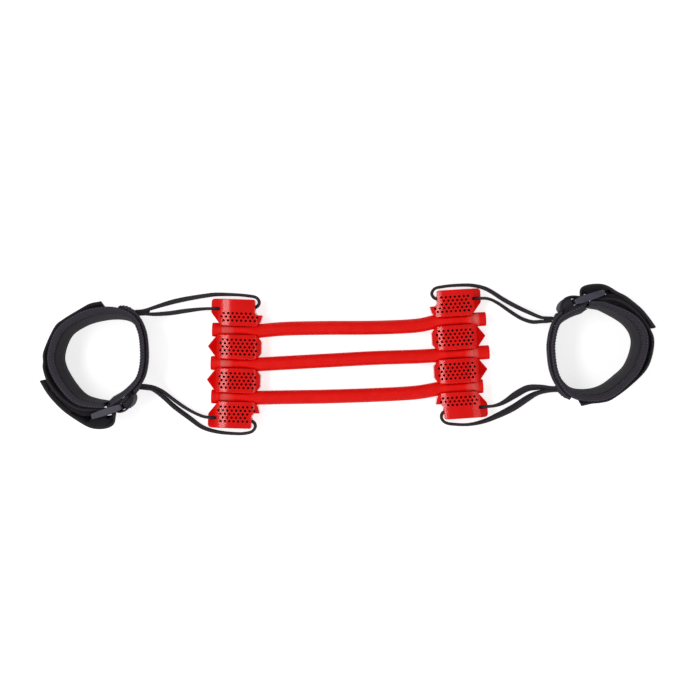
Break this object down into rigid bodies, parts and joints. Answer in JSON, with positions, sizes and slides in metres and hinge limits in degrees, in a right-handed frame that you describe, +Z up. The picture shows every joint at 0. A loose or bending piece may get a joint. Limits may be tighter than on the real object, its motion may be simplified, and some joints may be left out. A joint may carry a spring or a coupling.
{
  "type": "lateral resistance trainer",
  "caption": "Lateral resistance trainer: latex stretch tubes between perforated moulded holders, with webbing loops out to padded ring-and-strap ankle cuffs.",
  "frame": {"origin": "on the floor, under the middle of the bounding box of the trainer without its flat cords", "axes": "+X along the tubes towards the right cuff, +Y along the holders, +Z up from the surface it lies on"},
  "size_m": [0.63, 0.1604, 0.05],
  "materials": {
    "glossy_red_abs": "glossy moulded",
    "red_latex": "satin dipped latex",
    "red_plug_nylon": "satin moulded",
    "zinc_plated_steel": "zinc plated",
    "black_webbing": "woven nylon webbing",
    "black_neoprene": "knit-faced neoprene foam",
    "black_lining": "brushed knit lining",
    "black_binding_tape": "folded binding tape",
    "black_loop_pile": "loop pile",
    "black_hook_tape": "moulded hook tape",
    "grey_acetal": "satin moulded"
  },
  "bodies": {
    "left_holder": {"left_front_shell": "glossy_red_abs", "left_back_cover": "glossy_red_abs", "left_lower_screw": "zinc_plated_steel", "left_upper_screw": "zinc_plated_steel", "tube_1_left_plug": "red_plug_nylon", "tube_2_left_plug": "red_plug_nylon", "tube_3_left_plug": "red_plug_nylon", "left_upper_cord": "black_webbing", "left_lower_cord": "black_webbing", "tube_1": "red_latex", "tube_2": "red_latex", "tube_3": "red_latex"},
    "right_holder": {"right_front_shell": "glossy_red_abs", "right_back_cover": "glossy_red_abs", "right_lower_screw": "zinc_plated_steel", "right_upper_screw": "zinc_plated_steel", "tube_1_right_plug": "red_plug_nylon", "tube_2_right_plug": "red_plug_nylon", "tube_3_right_plug": "red_plug_nylon", "right_upper_cord": "black_webbing", "right_lower_cord": "black_webbing"},
    "left_cuff": {"left_cuff_pad": "black_neoprene", "left_cuff_lining": "black_lining", "left_cuff_lower_binding": "black_binding_tape", "left_cuff_upper_binding": "black_binding_tape", "left_cuff_anchor_webbing": "black_webbing", "left_cuff_keeper_loop": "black_webbing", "left_cuff_strap": "black_webbing", "left_cuff_loop_patch": "black_loop_pile"},
    "left_ring": {"left_cuff_ring": "grey_acetal"},
    "left_strap_end": {"left_cuff_strap_tail": "black_webbing", "left_cuff_hook_patch": "black_hook_tape"},
    "right_cuff": {"right_cuff_pad": "black_neoprene", "right_cuff_lining": "black_lining", "right_cuff_lower_binding": "black_binding_tape", "right_cuff_upper_binding": "black_binding_tape", "right_cuff_anchor_webbing": "black_webbing", "right_cuff_keeper_loop": "black_webbing", "right_cuff_strap": "black_webbing", "right_cuff_loop_patch": "black_loop_pile"},
    "right_ring": {"right_cuff_ring": "grey_acetal"},
    "right_strap_end": {"right_cuff_strap_tail": "black_webbing", "right_cuff_hook_patch": "black_hook_tape"}
  },
  "joints": [
    {"name": "stretch", "type": "slide", "parent": "left_holder", "child": "right_holder", "axis": [1, 0, 0], "range_m": [0, 0.25], "deforming": ["tube_1", "tube_2", "tube_3"]},
    {"name": "left_cuff_lift", "type": "hinge", "parent": "left_holder", "child": "left_cuff", "pos_m": [-0.1452, -0.0055, 0.014], "axis": [0, 1, 0], "range_deg": [0, 90], "deforming": ["left_upper_cord", "left_lower_cord"]},
    {"name": "right_cuff_lift", "type": "hinge", "parent": "right_holder", "child": "right_cuff", "pos_m": [0.1426, 0.0066, 0.014], "axis": [0, -1, 0], "range_deg": [0, 90], "deforming": ["right_upper_cord", "right_lower_cord"]},
    {"name": "left_ring_turn", "type": "hinge", "parent": "left_cuff", "child": "left_ring", "pos_m": [-0.2339, -0.0535, 0.025], "axis": [0, 0, 1], "range_deg": [-4, 0]},
    {"name": "right_ring_turn", "type": "hinge", "parent": "right_cuff", "child": "right_ring", "pos_m": [0.2339, 0.0546, 0.025], "axis": [0, 0, 1], "range_deg": [-4, 0]},
    {"name": "left_strap_open", "type": "hinge", "parent": "left_cuff", "child": "left_strap_end", "pos_m": [-0.2669, -0.0752, 0.025], "axis": [0, 0, 1], "range_deg": [0, 100]},
    {"name": "right_strap_open", "type": "hinge", "parent": "right_cuff", "child": "right_strap_end", "pos_m": [0.2669, 0.0763, 0.025], "axis": [0, 0, 1], "range_deg": [0, 100]}
  ]
}
